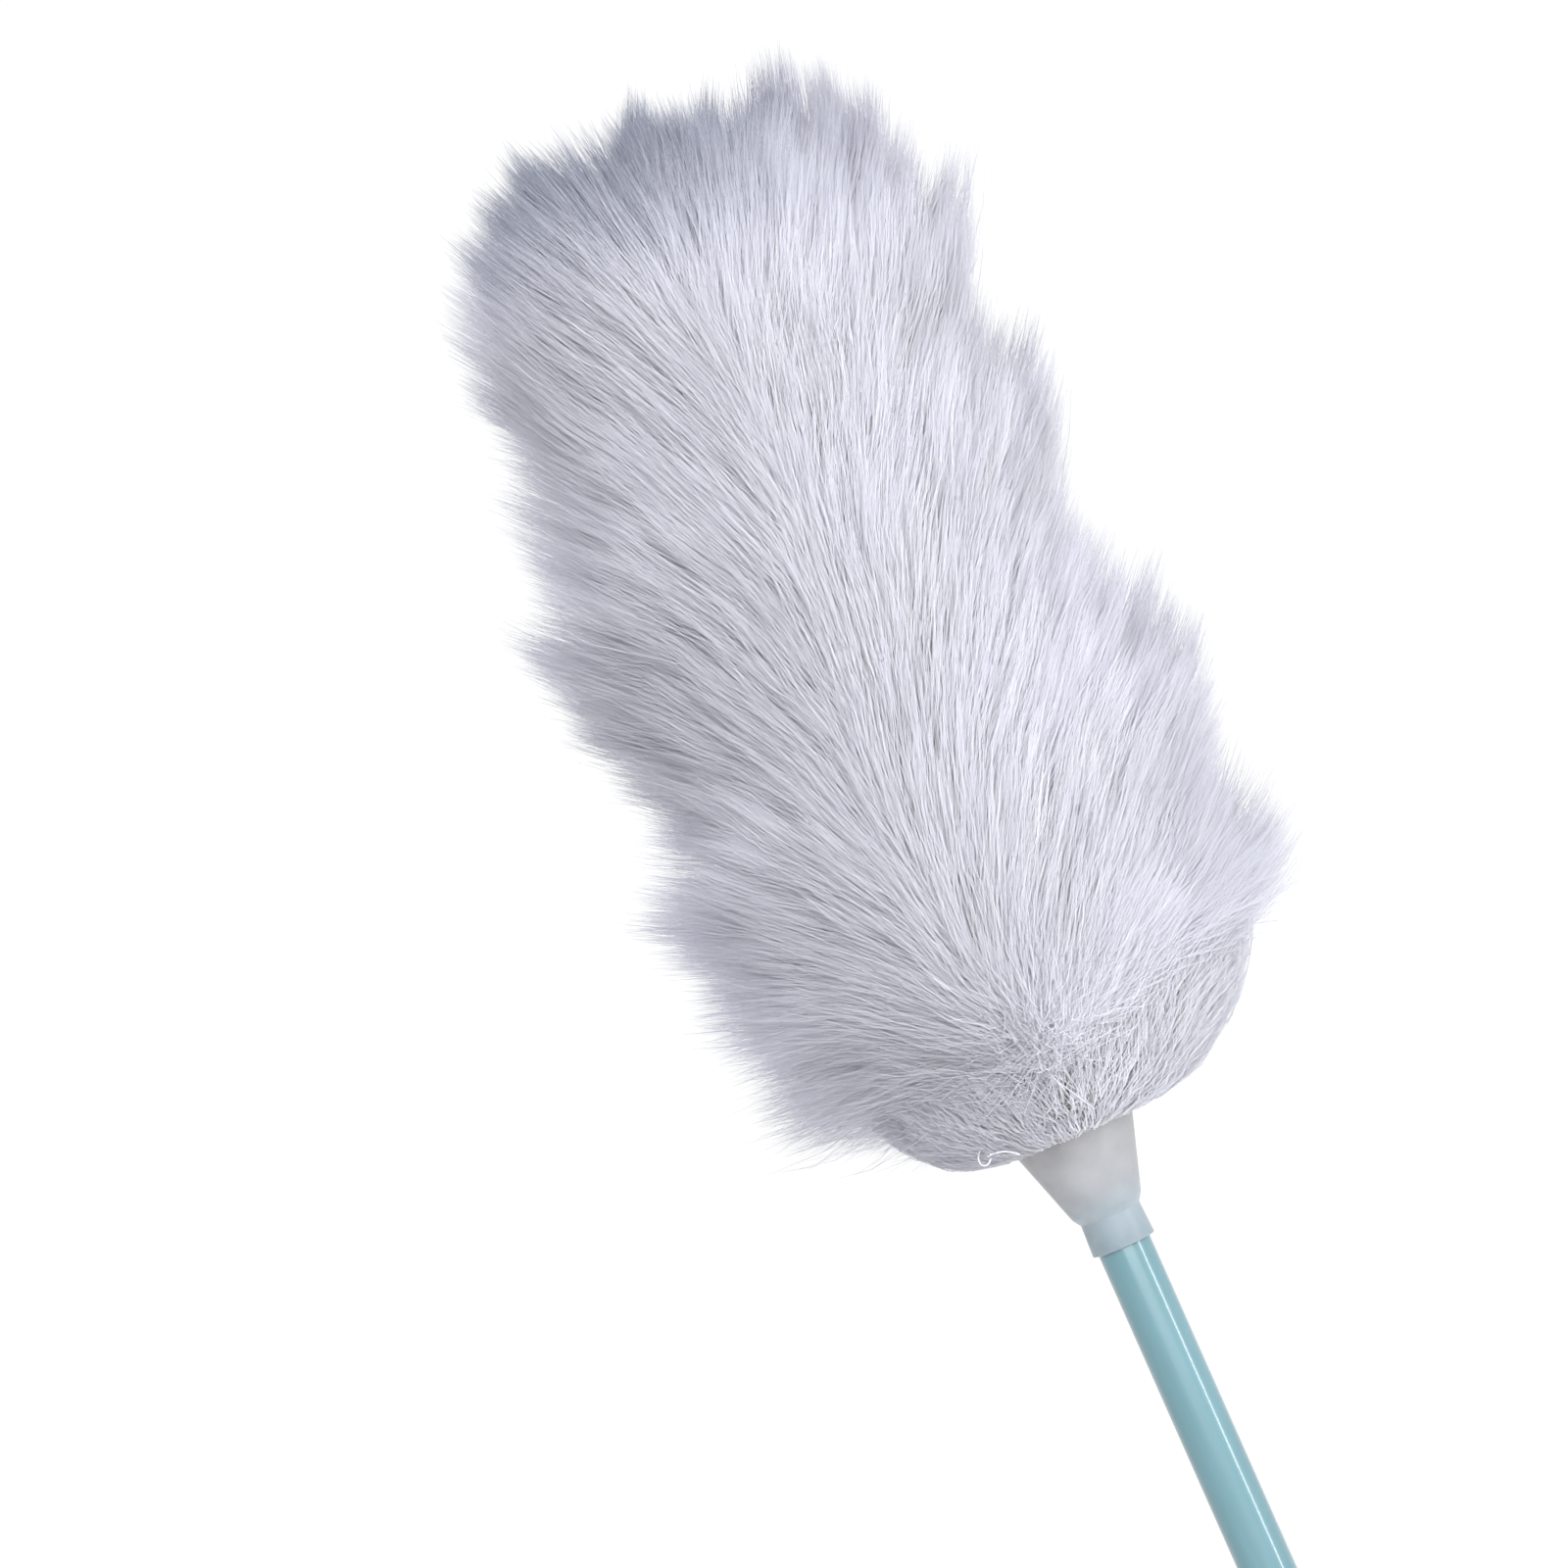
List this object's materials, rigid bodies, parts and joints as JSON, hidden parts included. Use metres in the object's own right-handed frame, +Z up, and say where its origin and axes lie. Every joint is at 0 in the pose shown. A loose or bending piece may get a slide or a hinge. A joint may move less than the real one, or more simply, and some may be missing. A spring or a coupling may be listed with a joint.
{
  "type": "duster",
  "caption": "Extendable hand duster: a fluffy fleece head and flared ferrule on a coated tube that slides in a gripped lower tube and locks with a screwed clamp.",
  "frame": {"origin": "middle of the lowest edge of the hanging tab, on the handle's axis", "axes": "+Z up the handle towards the fleece head, +Y square to the hanging tab's flat faces, +X along the tab's width"},
  "size_m": [0.196, 0.196, 0.9],
  "materials": {
    "fleece": "long-pile fleece, matt and fluffy, white with a cool grey cast",
    "backing_knit": "knitted cotton backing, matt off-white",
    "thread": "waxed white sewing thread",
    "core_plastic": "natural moulded plastic",
    "ferrule_plastic": "translucent natural polypropylene, soft gloss",
    "coated_tube": "glossy aqua plastic coat on steel tube",
    "steel": "bare bright steel",
    "nylon": "natural nylon",
    "clamp_plastic": "deep teal moulded plastic, fine satin",
    "grip_rubber": "soft moulded rubber, matt deep teal"
  },
  "bodies": {
    "handle": {"lower_tube": "coated_tube", "clamp_body": "clamp_plastic", "clamp_rivet": "steel", "grip_sleeve": "grip_rubber", "end_cap": "clamp_plastic", "cap_pin": "steel"},
    "clamp": {"clamp_ring": "nylon"},
    "nut": {"lock_nut": "clamp_plastic"},
    "head": {"fleece_pile": "fleece", "fleece_backing": "backing_knit", "winding_core": "core_plastic", "tip_plug": "core_plastic", "gather_thread": "thread", "ferrule": "ferrule_plastic", "upper_tube": "coated_tube", "foot_bush": "nylon", "base_tack": "steel", "top_tack": "steel", "core_pin": "steel", "foot_pin": "steel"}
  },
  "joints": [
    {"name": "extend", "type": "slide", "parent": "handle", "child": "head", "axis": [0, 0, 1], "range_m": [0, 0.3]},
    {"name": "clamp_travel", "type": "slide", "parent": "handle", "child": "clamp", "axis": [0, 0, 1], "range_m": [0, 0.001]},
    {"name": "nut_turn", "type": "hinge", "parent": "clamp", "child": "nut", "pos_m": [0, 0, 0.381], "axis": [0, 0, 1], "range_deg": [0, 180]}
  ],
  "couplings": [
    {"joint": "nut_turn", "follows": "clamp_travel", "rad_per_m": 3141.5}
  ]
}
